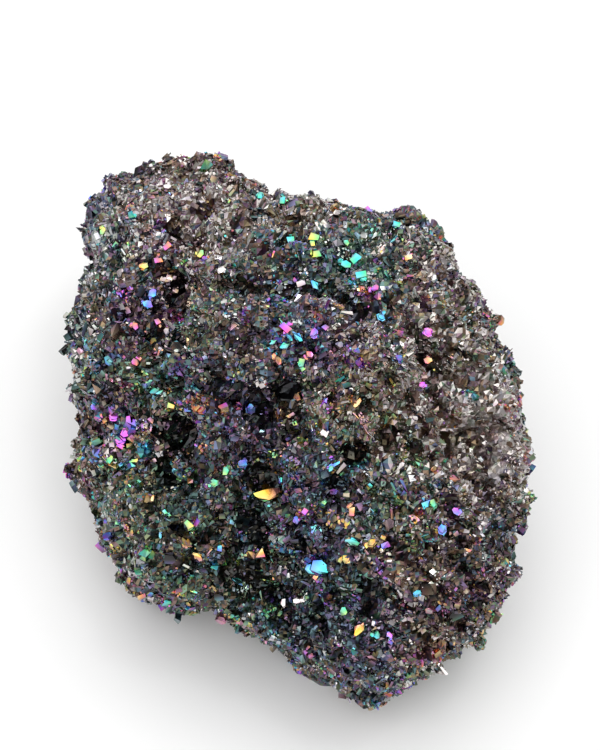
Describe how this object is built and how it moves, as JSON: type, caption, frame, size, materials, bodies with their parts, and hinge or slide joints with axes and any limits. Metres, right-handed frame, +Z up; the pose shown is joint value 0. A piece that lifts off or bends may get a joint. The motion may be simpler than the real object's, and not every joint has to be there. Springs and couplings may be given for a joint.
{
  "type": "rainbow hematite specimen",
  "caption": "Loose hand-sized lump of drusy crystal with a dark metallic, iridescent crust and a level broken underside to rest on.",
  "frame": {"origin": "middle of the level underside that the lump rests on", "axes": "+Z up from the resting face, +Y along the lump's length towards its far head, and the best side faces -Y and up"},
  "size_m": [0.082, 0.1054, 0.0658],
  "materials": {
    "iridescent_crystal": "near-black metallic crystals with a thin oxide film that flashes blue, teal, violet, magenta and gold; greyer and pinker on the right flank"
  },
  "bodies": {
    "root": {"specimen": "iridescent_crystal"}
  },
  "joints": []
}
